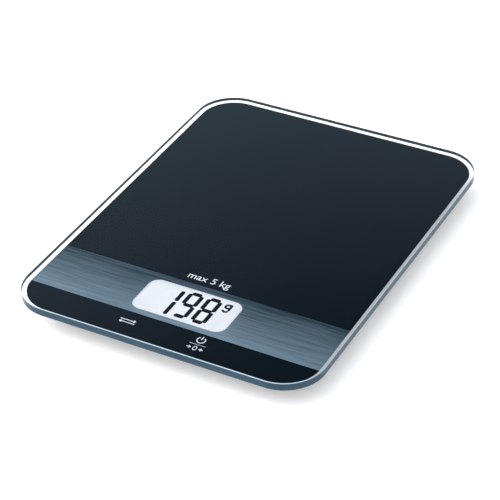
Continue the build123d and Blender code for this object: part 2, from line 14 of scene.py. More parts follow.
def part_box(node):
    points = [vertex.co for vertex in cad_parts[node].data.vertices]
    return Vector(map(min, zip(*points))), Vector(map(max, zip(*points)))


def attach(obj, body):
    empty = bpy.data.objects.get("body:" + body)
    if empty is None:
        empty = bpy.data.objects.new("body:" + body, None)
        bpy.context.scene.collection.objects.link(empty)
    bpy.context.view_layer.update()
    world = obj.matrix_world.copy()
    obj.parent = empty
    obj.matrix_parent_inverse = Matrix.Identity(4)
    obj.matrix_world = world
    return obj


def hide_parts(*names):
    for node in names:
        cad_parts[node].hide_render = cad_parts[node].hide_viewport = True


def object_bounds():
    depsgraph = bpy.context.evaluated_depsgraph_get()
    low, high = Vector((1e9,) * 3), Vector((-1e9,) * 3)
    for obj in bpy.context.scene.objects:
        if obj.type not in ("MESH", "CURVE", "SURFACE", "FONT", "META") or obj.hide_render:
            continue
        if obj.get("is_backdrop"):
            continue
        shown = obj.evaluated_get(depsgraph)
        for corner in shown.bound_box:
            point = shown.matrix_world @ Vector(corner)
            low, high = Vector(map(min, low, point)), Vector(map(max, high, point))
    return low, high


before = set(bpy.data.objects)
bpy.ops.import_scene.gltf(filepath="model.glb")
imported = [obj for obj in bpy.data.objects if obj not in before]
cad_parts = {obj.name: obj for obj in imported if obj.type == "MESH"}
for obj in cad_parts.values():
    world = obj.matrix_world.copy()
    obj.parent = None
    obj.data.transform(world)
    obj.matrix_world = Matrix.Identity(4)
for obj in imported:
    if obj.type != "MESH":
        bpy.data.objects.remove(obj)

MM = 0.001
TINY = 0.001 * MM
LEVEL = 0.99
LOG = logging.getLogger("kitchen_scale")
PLATFORM = "platform"
DOOR = "battery_door"
CORNERS = ("front_left", "front_right", "rear_left", "rear_right")

Piece = bpy.types.Object
Place = tuple[float, float]
Tree = bpy.types.NodeTree
Node = bpy.types.Node
Socket = bpy.types.NodeSocket
Colour = tuple[float, float, float]


# ---- Finishes ----


class Slot(Enum):
    """The record's material slots that the new pieces belong to; nothing in this script reads them.
    """

    GLASS = "clear_glass"
    INK = "black_print"
    SEGMENT = "display_segment"
    SIGN = "white_print"
    RUBBER = "foot_rubber"
    SCREW = "screw_steel"
    CASING = "black_casing"
    LABEL = "label_foil"


def remap(tree: Tree, value: Socket, source: Place, target: Place) -> Node:
    """Map a value from one range to another.

    Args:
        tree: The nodes to add to.
        value: The socket with the value.
        source: The range that the value comes from.
        target: The range that it is mapped to.

    Returns:
        The mapping node.
    """
    node = tree.nodes.new("ShaderNodeMapRange")
    for name, number in zip(("From Min", "From Max", "To Min", "To Max"), (*source, *target)):
        node.inputs[name].default_value = number
    tree.links.new(value, node.inputs["Value"])
    return node


@dataclass(frozen=True)
class Finish:
    """A finish with fine grain: two colours, a roughness range and a bump, all from one noise.

    The grain is in metres, and stretch draws it out along X, Y and Z.
    """

    name: str
    base: Colour
    accent: Colour
    roughness: float = 0.5
    spread: float = 0.1
    grain: float = 0.6 * MM
    stretch: tuple[float, float, float] = (1.0, 1.0, 1.0)
    bump: float = 0.1
    depth: float = 0.02 * MM
    metallic: float = 0.0
    detail: float = 3.0
    specular: float = 0.5
    coat: float = 0.0
    transmission: float = 0.0
    ior: float = 1.5
    glow: float = 0.0
    glow_colour: Colour = (1.0, 1.0, 1.0)

    def build(self) -> bpy.types.Material:
        """Make the material, or return it if it is already made.

        Returns:
            The finished material.
        """
        name = f"{self.name}_finish"
        made = bpy.data.materials.get(name)
        if made:
            return made
        material = bpy.data.materials.new(name)
        material.use_nodes = True
        tree = material.node_tree
        shader = tree.nodes["Principled BSDF"]
        self.set_constants(shader)
        noise = self.grain_noise(tree)
        self.link_colour(tree, shader, noise)
        self.link_roughness(tree, shader, noise)
        self.link_bump(tree, shader, noise)
        return material

    def set_constants(self, shader: Node) -> None:
        """Set what is the same all over on the shader's own sockets.

        Args:
            shader: The material's shader.
        """
        shader.inputs["Metallic"].default_value = self.metallic
        shader.inputs["Specular IOR Level"].default_value = self.specular
        shader.inputs["Coat Weight"].default_value = self.coat
        shader.inputs["Transmission Weight"].default_value = self.transmission
        shader.inputs["IOR"].default_value = self.ior
        shader.inputs["Emission Strength"].default_value = self.glow
        shader.inputs["Emission Color"].default_value = (*self.glow_colour, 1.0)

    def grain_noise(self, tree: Tree) -> Socket:
        """Add the noise that the grain comes from.

        Args:
            tree: The material's nodes.

        Returns:
            The noise's value socket.
        """
        coordinates = tree.nodes.new("ShaderNodeTexCoord")
        mapping = tree.nodes.new("ShaderNodeMapping")
        mapping.inputs["Scale"].default_value = [1.0 / (self.grain * s) for s in self.stretch]
        noise = tree.nodes.new("ShaderNodeTexNoise")
        noise.inputs["Scale"].default_value = 1.0
        noise.inputs["Detail"].default_value = self.detail
        tree.links.new(coordinates.outputs["Object"], mapping.inputs["Vector"])
        tree.links.new(mapping.outputs["Vector"], noise.inputs["Vector"])
        return noise.outputs["Fac"]

    def link_colour(self, tree: Tree, shader: Node, noise: Socket) -> None:
        """Mix the two colours by the grain.

        Args:
            tree: The material's nodes.
            shader: The material's shader.
            noise: The noise's value socket.
        """
        mix = tree.nodes.new("ShaderNodeMix")
        mix.data_type = "RGBA"
        mix.inputs["A"].default_value = (*self.base, 1.0)
        mix.inputs["B"].default_value = (*self.accent, 1.0)
        tree.links.new(noise, mix.inputs["Factor"])
        tree.links.new(mix.outputs["Result"], shader.inputs["Base Color"])

    def link_roughness(self, tree: Tree, shader: Node, noise: Socket) -> None:
        """Vary the roughness by the grain.

        Args:
            tree: The material's nodes.
            shader: The material's shader.
            noise: The noise's value socket.
        """
        ends = (max(0.0, self.roughness - self.spread), min(1.0, self.roughness + self.spread))
        spread = remap(tree, noise, (0.0, 1.0), ends)
        tree.links.new(spread.outputs["Result"], shader.inputs["Roughness"])

    def link_bump(self, tree: Tree, shader: Node, noise: Socket) -> None:
        """Raise the grain.

        Args:
            tree: The material's nodes.
            shader: The material's shader.
            noise: The noise's value socket.
        """
        bump = tree.nodes.new("ShaderNodeBump")
        bump.inputs["Strength"].default_value = self.bump
        bump.inputs["Distance"].default_value = self.depth
        tree.links.new(noise, bump.inputs["Height"])
        tree.links.new(bump.outputs["Normal"], shader.inputs["Normal"])


@dataclass(frozen=True)
class BrushedFinish(Finish):
    """A brushed finish that also lightens evenly from one Y to another; this ramp is painted
    reflection.
    """

    reflection_dark_y: float = 0.0
    reflection_light_y: float = 1.0
    streak: float = 0.34
    noise_low: float = 0.32
    noise_high: float = 0.68
    floor: float = 0.1

    def link_colour(self, tree: Tree, shader: Node, noise: Socket) -> None:
        """Mix the two colours by the streaks and by the place along Y; the ramp along Y is painted
        reflection.

        Args:
            tree: The material's nodes.
            shader: The material's shader.
            noise: The noise's value socket.
        """
        coordinates = tree.nodes.new("ShaderNodeTexCoord")
        parts = tree.nodes.new("ShaderNodeSeparateXYZ")
        tree.links.new(coordinates.outputs["Object"], parts.inputs["Vector"])
        # painted reflection: the colour ramps evenly along Y from the darker colour to the lighter
        # one
        ends = (self.floor - self.streak / 2, 1.0 - self.streak)
        ramp = remap(tree, parts.outputs["Y"], (self.reflection_dark_y, self.reflection_light_y), ends)
        streaks = remap(tree, noise, (self.noise_low, self.noise_high), (0.0, self.streak))
        total = tree.nodes.new("ShaderNodeMath")
        total.operation = "ADD"
        total.use_clamp = True
        tree.links.new(ramp.outputs["Result"], total.inputs[0])
        tree.links.new(streaks.outputs["Result"], total.inputs[1])
        super().link_colour(tree, shader, total.outputs["Value"])


CLEAR_GLASS = Finish(
    "polished_glass", (0.97, 0.99, 0.99), (1.0, 1.0, 1.0), 0.0, 0.003, 30 * MM, bump=0.0,
    transmission=1.0,
)
BONDED_GLASS = Finish(
    "bonded_glass", (0.97, 0.99, 0.99), (1.0, 1.0, 1.0), 0.0, 0.001, 30 * MM, bump=0.0,
    specular=0.0, transmission=1.0, ior=1.0,
)
# Glass sides and lower rim, opaque: the glass's blue-grey edge tint, darkened as a painted
# reflection of the black print.
EDGE_TINT_AND_PAINTED_REFLECTION = Finish(
    "glass_edge_tint_and_painted_reflection", (0.012, 0.034, 0.054), (0.036, 0.066, 0.096), 0.16, 0.06, 4.0 * MM,
    (3.0, 3.0, 1.0), 0.02, specular=0.12,
)
# Glass upper rim: a pale blue, mostly opaque colour, a painted highlight along the chamfer.
ARRIS_PAINTED_HIGHLIGHT = Finish(
    "arris_painted_highlight", (0.28, 0.38, 0.46), (0.42, 0.54, 0.62), 0.12, 0.05, 5.0 * MM, bump=0.0,
    transmission=0.15,
)
DISPLAY_GLASS = Finish(
    "display_cell_glass", (0.95, 0.98, 0.97), (1.0, 1.0, 1.0), 0.01, 0.005, 5 * MM, bump=0.0,
    transmission=1.0,
)
BLACK_PRINT = Finish(
    "black_back_print", (0.0012, 0.0022, 0.0032), (0.0015, 0.0027, 0.0040), 0.6, 0.06, 0.12 * MM,
    bump=0.0, specular=0.0,
)
# brushed band with a painted reflection: darker at the rear of the band, lighter at its front
BRUSHED_FOIL = BrushedFinish(
    "brushed_foil", (0.034, 0.060, 0.078), (0.41, 0.51, 0.59), 0.36, 0.08, 0.55 * MM,
    (45.0, 1.0, 1.0), 0.25, 0.01 * MM, metallic=1.0, detail=4.0, reflection_dark_y=-51 * MM,
    reflection_light_y=-81.5 * MM,
)
FOAM_TAPE = Finish("foam_tape", (0.55, 0.55, 0.52), (0.72, 0.72, 0.69), 0.9, 0.05, 0.5 * MM)
MOULDED_CASING = Finish(
    "moulded_black_casing", (0.012, 0.012, 0.013), (0.024, 0.024, 0.026), 0.52, 0.10, 0.35 * MM,
    bump=0.35,
)
FOOT_RUBBER = Finish(
    "foot_rubber", (0.018, 0.018, 0.018), (0.040, 0.040, 0.040), 0.82, 0.08, 0.5 * MM, bump=0.25,
)
SPRING_STEEL = Finish(
    "rolled_spring_steel", (0.42, 0.42, 0.41), (0.62, 0.62, 0.61), 0.33, 0.08, 0.3 * MM,
    (12.0, 1.0, 1.0), metallic=1.0,
)
ZINC_PLATE = Finish(
    "zinc_plated_steel", (0.48, 0.50, 0.53), (0.66, 0.68, 0.70), 0.28, 0.10, 0.4 * MM, metallic=1.0,
)
SEALANT = Finish("gauge_sealant", (0.70, 0.70, 0.64), (0.82, 0.82, 0.77), 0.4, 0.1, 0.8 * MM)
LEAD_SLEEVE = Finish("lead_sleeve", (0.42, 0.02, 0.015), (0.55, 0.04, 0.03), 0.42, 0.06, 0.6 * MM)
SOLDER_MASK = Finish(
    "solder_mask", (0.015, 0.14, 0.055), (0.03, 0.22, 0.09), 0.3, 0.08, 1.2 * MM, coat=0.3,
)
CHIP_RESIN = Finish("chip_resin", (0.010, 0.010, 0.010), (0.03, 0.03, 0.03), 0.22, 0.08, 1.5 * MM)
DRAWN_CAN = Finish(
    "drawn_can", (0.60, 0.60, 0.61), (0.78, 0.78, 0.79), 0.2, 0.05, 0.4 * MM, metallic=1.0,
)
CERAMIC = Finish("fired_ceramic", (0.32, 0.22, 0.12), (0.42, 0.31, 0.19), 0.6, 0.08, 0.3 * MM)
# Display face: its own pale colour, plus a painted glow that brightens it; the display has no lamp.
DISPLAY_FACE = Finish(
    "display_face", (0.80, 0.83, 0.88), (0.86, 0.88, 0.92), 0.5, 0.05, 14 * MM, bump=0.0,
    detail=1.0, specular=0.1, glow=0.16, glow_colour=(1.0, 0.92, 0.90),
)
REFLECTOR = Finish(
    "display_reflector", (0.66, 0.67, 0.66), (0.8, 0.8, 0.8), 0.4, 0.1, 0.2 * MM, metallic=1.0,
)
WHITE_MOULDING = Finish(
    "white_moulding", (0.72, 0.72, 0.70), (0.82, 0.82, 0.80), 0.5, 0.08, 0.5 * MM,
)
GASKET_FOAM = Finish(
    "gasket_foam", (0.015, 0.015, 0.015), (0.04, 0.04, 0.04), 0.92, 0.05, 0.25 * MM, bump=0.5,
)
ZEBRA_RUBBER = Finish(
    "zebra_rubber", (0.05, 0.05, 0.05), (0.45, 0.45, 0.47), 0.6, 0.1, 0.15 * MM, (1.0, 40.0, 40.0),
)
CELL_STEEL = Finish(
    "bright_cell_steel", (0.60, 0.60, 0.59), (0.78, 0.78, 0.77), 0.16, 0.06, 2 * MM, metallic=1.0,
)
LABEL_FOIL = Finish(
    "label_foil", (0.55, 0.56, 0.57), (0.66, 0.67, 0.68), 0.42, 0.08, 0.5 * MM, metallic=0.6,
)
SEGMENT = Finish(
    "display_segment", (0.0010, 0.0014, 0.0020), (0.0020, 0.0026, 0.0032), 0.5, 0.05, 1 * MM,
    specular=0.0,
)
# Pale sign ink, with a painted glow that brightens it.
WHITE_INK = Finish(
    "white_sign_ink", (0.84, 0.88, 0.92), (0.95, 0.97, 0.99), 0.5, 0.05, 0.3 * MM, specular=0.0,
    glow=0.08,
)
FLOOR_PAPER = Finish(
    "lit_studio_floor", (0.88, 0.88, 0.88), (0.92, 0.92, 0.92), 0.9, 0.03, 60 * MM, bump=0.0,
    specular=0.0, glow=0.2, glow_colour=(1.0, 0.975, 0.96),
)

FINISHED_NODES: tuple[tuple[Finish, tuple[str, ...]], ...] = (
    (CLEAR_GLASS, ("glass_platform",)),
    (BLACK_PRINT, ("rear_print", "front_print")),
    (BRUSHED_FOIL, ("brushed_band",)),
    (FOAM_TAPE, ("mounting_tape",)),
    (MOULDED_CASING, ("chassis", "bottom_cover", "battery_door", "foot_cap")),
    (FOOT_RUBBER, ("foot_pad",)),
    (ZINC_PLATE, ("foot_screw", "case_screws", "load_cell_screws", "board_screws")),
    (SPRING_STEEL, ("load_cell", "unit_key_spring", "tare_key_spring")),
    (SPRING_STEEL, ("top_contact", "side_contact")),
    (SEALANT, ("strain_gauge",)),
    (LEAD_SLEEVE, ("sensor_lead",)),
    (SOLDER_MASK, ("circuit_board",)),
    (CHIP_RESIN, ("controller_chip",)),
    (DRAWN_CAN, ("crystal",)),
    (CERAMIC, ("capacitors",)),
    (DISPLAY_GLASS, ("lcd_front_plate", "lcd_rear_plate")),
    (DISPLAY_FACE, ("lcd_polariser",)),
    (REFLECTOR, ("lcd_reflector",)),
    (WHITE_MOULDING, ("lcd_frame",)),
    (GASKET_FOAM, ("lcd_gasket",)),
    (ZEBRA_RUBBER, ("zebra_strip",)),
    (CELL_STEEL, ("coin_cell",)),
    (LABEL_FOIL, ("rating_label",)),
)
NODE_FINISHES = {node: finish for finish, nodes in FINISHED_NODES for node in nodes}


def dress_frame() -> None:
    """Give every carried-over CAD node its finish."""
    for name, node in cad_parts.items():
        stem = name
        for corner in CORNERS:
            stem = stem.removesuffix(f"_{corner}")
        material = NODE_FINISHES[stem].build()
        for slot in node.material_slots:
            slot.material = material
        LOG.info("dressed %s in %s", name, material.name)


# ---- Modelling ----


class Shaper:
    """Shapes one new piece in edit mode, and finishes it at the origin."""

    def __init__(self, piece: Piece, name: str) -> None:
        """Take the piece that an operator has just added.

        Args:
            piece: The new object, at its place.
            name: Its name.
        """
        self.piece = piece
        piece.name = name
        piece.data.name = name
        self.settle()

    @classmethod
    def box(cls, name: str, low: Vector, high: Vector) -> "Shaper":
        """Start from a box between two corners.

        Args:
            name: The piece's name.
            low: Its lowest corner.
            high: Its highest corner.

        Returns:
            The piece's shaper.
        """
        deselect_all()
        bpy.ops.mesh.primitive_cube_add(size=1.0, location=(low + high) / 2, scale=high - low)
        return cls(bpy.context.object, name)

    @classmethod
    def cylinder(
        cls, name: str, centre: Vector, radius: float, depth: float, sides: int
    ) -> "Shaper":
        """Start from an upright cylinder or prism.

        Args:
            name: The piece's name.
            centre: The middle of the solid.
            radius: Its radius, to the corners.
            depth: Its height.
            sides: How many sides it has.

        Returns:
            The piece's shaper.
        """
        deselect_all()
        bpy.ops.mesh.primitive_cylinder_add(
            vertices=sides, radius=radius, depth=depth, location=centre
        )
        return cls(bpy.context.object, name)

    @classmethod
    def ring(
        cls, name: str, middle: Vector, radii: Place, thickness: float, squeeze: float, gap: float
    ) -> "Shaper":
        """Model a flat ring from a cylinder, open at the back by a gap.

        Args:
            name: The ring's name.
            middle: Its middle.
            radii: Its inner and outer radius.
            thickness: Its height.
            squeeze: How wide it is for its depth.
            gap: The opening, in degrees to each side of +Y.

        Returns:
            The ring's shaper.
        """
        inner, outer = radii
        shaper = cls.cylinder(name, middle, outer, thickness, 72)
        with shaper:
            shaper.pick_faces(lambda _, normal: abs(normal.z) > LEVEL)
            bpy.ops.mesh.inset(thickness=outer - inner, use_individual=True)
            bpy.ops.mesh.bridge_edge_loops()
            if gap:
                shaper.open_ring(middle, gap)
            bpy.ops.mesh.select_all(action="SELECT")
            bpy.ops.transform.resize(value=(squeeze, 1, 1), center_override=middle)
            bpy.ops.mesh.normals_make_consistent(inside=False)
        return shaper

    @classmethod
    def text(
        cls, name: str, words: str, centre: Vector, height: float, thickness: float, weight: float
    ) -> "Shaper":
        """Start from flat lettering, made a closed mesh.

        Args:
            name: The piece's name.
            words: What it says.
            centre: The middle of the lettering, at its lower face.
            height: The size of the type.
            thickness: How thick it is.
            weight: How far its outline is moved outwards.

        Returns:
            The piece's shaper.
        """
        deselect_all()
        bpy.ops.object.text_add(location=(0, 0, 0))
        letters = bpy.context.object
        letters.data.body = words
        letters.data.size = height
        letters.data.align_x = "CENTER"
        letters.data.align_y = "CENTER"
        letters.data.extrude = thickness / 2
        letters.data.offset = weight
        letters.data.resolution_u = 6
        bpy.ops.object.convert(target="MESH")
        letters = bpy.context.object
        letters.data.transform(Matrix.Translation(centre + Vector((0, 0, thickness / 2))))
        shaper = cls(letters, name)
        with shaper:
            bpy.ops.mesh.select_all(action="SELECT")
            bpy.ops.mesh.remove_doubles(threshold=0.001 * MM)
            bpy.ops.mesh.normals_make_consistent(inside=False)
        return shaper

    def __enter__(self) -> "Shaper":
        """Open the piece in edit mode, with nothing selected in it.

        Returns:
            The shaper itself.
        """
        select_only(self.piece)
        bpy.ops.object.mode_set(mode="EDIT")
        bpy.ops.mesh.select_all(action="DESELECT")
        return self

    def __exit__(self, *_: object) -> None:
        """Leave edit mode.

        Args:
            _: The error that ended the work, if any, which goes on its way.
        """
        bpy.ops.object.mode_set(mode="OBJECT")

    def settle(self) -> None:
        """Put the piece's place, turn and size in its mesh, and its object at the origin."""
        select_only(self.piece)
        bpy.ops.object.transform_apply(location=True, rotation=True, scale=True)

    def choose(self, mode: str, parts: str, test: Callable) -> None:
        """Select the parts of the mesh that pass a test, and nothing else.

        Args:
            mode: The select mode, such as FACE.
            parts: Which of the mesh's lists to test: verts, edges or faces.
            test: What a part must do.
        """
        bpy.ops.mesh.select_mode(type=mode)
        bpy.ops.mesh.select_all(action="DESELECT")
        mesh = bmesh.from_edit_mesh(self.piece.data)
        mesh.normal_update()
        for part in [part for part in getattr(mesh, parts) if test(part)]:
            part.select_set(True)
        if mode == "VERT":
            mesh.select_flush(True)
        bmesh.update_edit_mesh(self.piece.data)

    def pick_edges(self, test: Callable[[Vector, Vector], bool]) -> None:
        """Select the edges whose two ends pass a test.

        Args:
            test: What the two ends must do.
        """
        self.choose("EDGE", "edges", lambda edge: test(edge.verts[0].co, edge.verts[1].co))

    def pick_faces(self, test: Callable[[Vector, Vector], bool]) -> None:
        """Select the faces whose middle and normal pass a test.

        Args:
            test: What the middle and the normal must do.
        """
        self.choose("FACE", "faces", lambda face: test(face.calc_center_median(), face.normal))

    def pick_points(self, test: Callable[[Vector], bool]) -> None:
        """Select the points that pass a test.

        Args:
            test: What a point must do.
        """
        self.choose("VERT", "verts", lambda point: test(point.co))

    def open_ring(self, middle: Vector, gap: float) -> None:
        """Cut the gap out of a ring, and close its two ends.

        Args:
            middle: The ring's middle.
            gap: The opening, in degrees to each side of +Y.
        """
        half = math.radians(gap)
        self.pick_faces(
            lambda place, _: abs(math.atan2(place.x - middle.x, place.y - middle.y)) < half
        )
        bpy.ops.mesh.delete(type="FACE")
        bpy.ops.mesh.select_mode(type="EDGE")
        bpy.ops.mesh.select_all(action="DESELECT")
        bpy.ops.mesh.select_non_manifold()
        bpy.ops.mesh.edge_face_add()

    def round_corners(self, radius: float, segments: int) -> None:
        """Bevel the upright edges.

        Args:
            radius: The bevel's size.
            segments: How many steps it has.
        """
        self.pick_edges(lambda a, b: (a - b).xy.length < TINY)
        bpy.ops.mesh.bevel(offset=radius, segments=segments, affect="EDGES")

    def round_rims(
        self, radius: float, segments: int, top: bool = True, bottom: bool = True
    ) -> None:
        """Bevel the level edges of the top face, the bottom face or both.

        Args:
            radius: The bevel's size.
            segments: How many steps it has.
            top: Whether the top face's edges are bevelled.
            bottom: Whether the bottom face's edges are bevelled.
        """
        low, high = mesh_span(self.piece)
        levels = [high] * top + [low] * bottom
        self.pick_edges(
            lambda a, b: abs(a.z - b.z) < TINY and any(abs(a.z - z) < TINY for z in levels)
        )
        bpy.ops.mesh.bevel(offset=radius, segments=segments, affect="EDGES")

    def smooth(self, angle: float = 40.0) -> "Shaper":
        """Shade the piece smooth, with flat faces kept flat.

        Args:
            angle: The largest angle between two faces that is shaded smooth, in degrees.

        Returns:
            The shaper itself.
        """
        select_only(self.piece)
        bpy.ops.object.shade_smooth_by_angle(angle=math.radians(angle), keep_sharp_edges=True)
        weighted = self.piece.modifiers.new("flat_faces", "WEIGHTED_NORMAL")
        weighted.keep_sharp = True
        bpy.ops.object.modifier_apply(modifier=weighted.name)
        return self

    def finish(self, finish: Finish, body: str, slot: Slot, replaced: Sequence[str] = ()) -> Piece:
        """Give the piece its finish and the body that it rides on.

        Args:
            finish: Its finish.
            body: The body that it moves with.
            slot: The record's slot that its finish belongs to; not used.
            replaced: The CAD nodes that it stands for.

        Returns:
            The finished piece.
        """
        if not self.piece.data.materials:
            self.piece.data.materials.append(finish.build())
        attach(self.piece, body)
        if replaced:
            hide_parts(*replaced)
        LOG.info("made %s, %d faces", self.piece.name, len(self.piece.data.polygons))
        return self.piece


def deselect_all() -> None:
    """Leave edit mode if needed, and deselect every object."""
    if bpy.context.object and bpy.context.object.mode != "OBJECT":
        bpy.ops.object.mode_set(mode="OBJECT")
    for piece in list(bpy.context.selected_objects):
        piece.select_set(False)


def select_only(piece: Piece) -> None:
    """Select one object and make it the active one.

    Args:
        piece: The object.
    """
    deselect_all()
    piece.select_set(True)
    bpy.context.view_layer.objects.active = piece


def mesh_span(piece: Piece) -> tuple[float, float]:
    """Measure the height of a piece's mesh, also while it is edited.

    Args:
        piece: The piece.

    Returns:
        Its lowest and highest Z.
    """
    piece.update_from_editmode()
    levels = [v.co.z for v in piece.data.vertices]
    return min(levels), max(levels)


def join(pieces: Iterable[Shaper], name: str) -> Shaper:
    """Join several new pieces into one.

    Args:
        pieces: The pieces' shapers.
        name: The name of the whole.

    Returns:
        The whole's shaper.
    """
    deselect_all()
    objects = [shaper.piece for shaper in pieces]
    for piece in objects:
        piece.select_set(True)
    bpy.context.view_layer.objects.active = objects[0]
    bpy.ops.object.join()
    return Shaper(bpy.context.object, name)


# ---- Glass plate ----


@dataclass
class GlassPlate:
    """The weighing plate: clear glass with round corners and softly ground edges, with a painted
    highlight on its upper rim and a painted reflection on its sides.
    """

    corner_radius: float = 19.7 * MM
    corner_segments: int = 28
    rim_radius: float = 0.3 * MM
    rim_segments: int = 3
    print_gap: float = 0.03 * MM
    upper_slope: float = 0.05
    smooth_below: float = 32.0

    def build(self) -> Piece:
        """Model the plate in the place of its CAD node.

        Returns:
            The plate.
        """
        low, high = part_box("glass_platform")
        low.z += self.print_gap
        shaper = Shaper.box("glass_plate", low, high)
        with shaper:
            shaper.round_corners(self.corner_radius, self.corner_segments)
            shaper.round_rims(self.rim_radius, self.rim_segments)
            shaper.pick_faces(lambda _, normal: normal.z < -LEVEL)
            bpy.ops.mesh.inset(thickness=self.border() - self.rim_radius)
        shaper.smooth(self.smooth_below)
        self.assign_finishes(shaper)
        return shaper.finish(CLEAR_GLASS, PLATFORM, Slot.GLASS, ["glass_platform"])

    def border(self) -> float:
        """Measure the clear border.

        Returns:
            How far the print lies inside the plate's edge.
        """
        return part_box("glass_platform")[1].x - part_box("rear_print")[1].x

    def assign_finishes(self, shaper: Shaper) -> None:
        """Give the faces, the bonded underside, the sides and the rims their finishes; the sides
        and lower rim carry a painted reflection, the upper rim a painted highlight.

        Args:
            shaper: The plate's shaper.
        """
        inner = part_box("rear_print")[1].x

        def bonded(middle: Vector, normal: Vector) -> bool:
            """Tell whether a face is the underside within the border.

            Args:
                middle: The face's middle.
                normal: Its normal.

            Returns:
                The answer.
            """
            return normal.z < -LEVEL and math.hypot(middle.x, middle.y) < inner / 2

        def outer(_: Vector, normal: Vector) -> bool:
            """Tell whether a face is on the side or on the lower rim.

            Args:
                _: The face's middle.
                normal: Its normal.

            Returns:
                The answer.
            """
            return -LEVEL < normal.z < self.upper_slope

        def sloping(_: Vector, normal: Vector) -> bool:
            """Tell whether a face lies on the upper rim.

            Args:
                _: The face's middle.
                normal: Its normal.

            Returns:
                The answer.
            """
            return self.upper_slope <= normal.z < LEVEL

        # painted reflection on the sides and lower rim, painted highlight on the upper rim
        tests = {BONDED_GLASS: bonded, EDGE_TINT_AND_PAINTED_REFLECTION: outer, ARRIS_PAINTED_HIGHLIGHT: sloping}
        materials = shaper.piece.data.materials
        materials.append(CLEAR_GLASS.build())
        with shaper:
            for finish, test in tests.items():
                materials.append(finish.build())
                shaper.pick_faces(test)
                shaper.piece.active_material_index = len(materials) - 1
                bpy.ops.object.material_slot_assign()


# ---- Display ----


class Segment(Enum):
    """The seven bars of a digit: where each lies, in half digits, and whether it stands."""

    TOP = (0.0, 1.0, False)
    MIDDLE = (0.0, 0.0, False)
    BOTTOM = (0.0, -1.0, False)
    UPPER_LEFT = (-1.0, 0.5, True)
    UPPER_RIGHT = (1.0, 0.5, True)
    LOWER_LEFT = (-1.0, -0.5, True)
    LOWER_RIGHT = (1.0, -0.5, True)


DIGITS: dict[str, tuple[Segment, ...]] = {
    "1": (Segment.UPPER_RIGHT, Segment.LOWER_RIGHT),
    "8": tuple(Segment),
    "9": tuple(s for s in Segment if s is not Segment.LOWER_LEFT),
}


@dataclass
class Display:
    """The reading on the display: seven-segment digits and the gram sign."""

    reading: str = "198"
    digit_width: float = 7.7 * MM
    digit_height: float = 19.5 * MM
    pitch: float = 9.5 * MM
    upright_stroke: float = 2.05 * MM
    level_stroke: float = 2.35 * MM
    bar_gap: float = 0.25 * MM
    lone_reach: float = 2.0 * MM
    last_digit: Place = (9.85 * MM, 0.4 * MM)
    gram_place: Place = (17.2 * MM, 6.0 * MM)
    gram_radius: float = 1.85 * MM
    gram_stroke: float = 1.15 * MM
    gram_rise: float = 1.35 * MM
    tail_gap: float = 98.0
    thickness: float = 0.03 * MM

    def level(self) -> float:
        """Find the face that the segments lie on.

        Returns:
            Its height.
        """
        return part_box("lcd_polariser")[1].z

    def middle(self) -> Vector:
        """Find the middle of the display's face.

        Returns:
            The middle.
        """
        low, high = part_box("lcd_polariser")
        return Vector(((low.x + high.x) / 2, (low.y + high.y) / 2, high.z))

    def bar(self, name: str, centre: Vector, segment: Segment, reach: float) -> Shaper:
        """Model one bar with pointed ends, from a six-sided prism drawn out along its length.

        Args:
            name: The bar's name.
            centre: The middle of its digit.
            segment: Which bar it is.
            reach: How much further it reaches towards the digit's top or foot.

        Returns:
            The bar's shaper.
        """
        side, end, stands = segment.value
        stroke = self.upright_stroke if stands else self.level_stroke
        reach_x = (self.digit_width - self.upright_stroke) / 2
        reach_y = (self.digit_height - self.level_stroke) / 2
        length = (reach_y if stands else 2 * reach_x) - 2 * self.bar_gap + reach
        place = centre + Vector((side * reach_x, end * (reach_y + reach), self.thickness / 2))
        sides = 6
        radius = stroke / 2 / math.cos(math.pi / sides)
        shaper = Shaper.cylinder(name, Vector((0, 0, 0)), radius, self.thickness, sides)
        stretch = length / 2 - radius
        with shaper:
            for turn in (-1, 1):
                shaper.pick_points(lambda point, turn=turn: point.y * turn > TINY)
                bpy.ops.transform.translate(value=(0, turn * stretch, 0))
        turned = Matrix.Identity(4) if stands else Matrix.Rotation(math.pi / 2, 4, "Z")
        shaper.piece.data.transform(Matrix.Translation(place) @ turned)
        return shaper

    def digit(self, figure: str, centre: Vector, name: str) -> Piece:
        """Model one digit.

        Args:
            figure: Which digit.
            centre: Its middle.
            name: Its name.

        Returns:
            The digit.
        """
        segments = DIGITS[figure]
        alone = all(s.value[2] for s in segments)
        bars = []
        for segment in segments:
            reach = self.lone_reach if alone and segment.value[1] < 0 else 0.0
            bars.append(self.bar(f"{name}_{segment.name}", centre, segment, reach))
        return join(bars, name).finish(SEGMENT, PLATFORM, Slot.SEGMENT)

    def gram_sign(self, centre: Vector) -> Piece:
        """Model the gram sign: a bowl, a stem on its right and a hooked tail.

        Args:
            centre: The sign's middle.

        Returns:
            The gram sign.
        """
        radii = (self.gram_radius - self.gram_stroke, self.gram_radius)
        rise = Vector((0, self.gram_rise, 0))
        bowl = Shaper.ring("gram_bowl", centre + rise, radii, self.thickness, 1.0, 0.0)
        tail = Shaper.ring("gram_tail", centre - rise, radii, self.thickness, 1.0, self.tail_gap)
        corner = Vector((self.gram_stroke / 2, 0, self.thickness / 2))
        side = centre + Vector((self.gram_radius - self.gram_stroke / 2, 0, 0))
        top = Vector((0, self.gram_rise + self.gram_radius, 0))
        stem = Shaper.box("gram_stem", side - rise - corner, side + top + corner)
        return join([bowl, tail, stem], "display_gram_sign").finish(SEGMENT, PLATFORM, Slot.SEGMENT)

    def build(self) -> None:
        """Model the whole reading."""
        middle = self.middle()
        for n, figure in enumerate(reversed(self.reading)):
            offset = Vector((self.last_digit[0] - n * self.pitch, self.last_digit[1], 0))
            self.digit(figure, middle + offset, f"display_digit_{len(self.reading) - n}")
        self.gram_sign(middle + Vector((*self.gram_place, self.thickness / 2)))


# ---- Signs printed on the glass ----


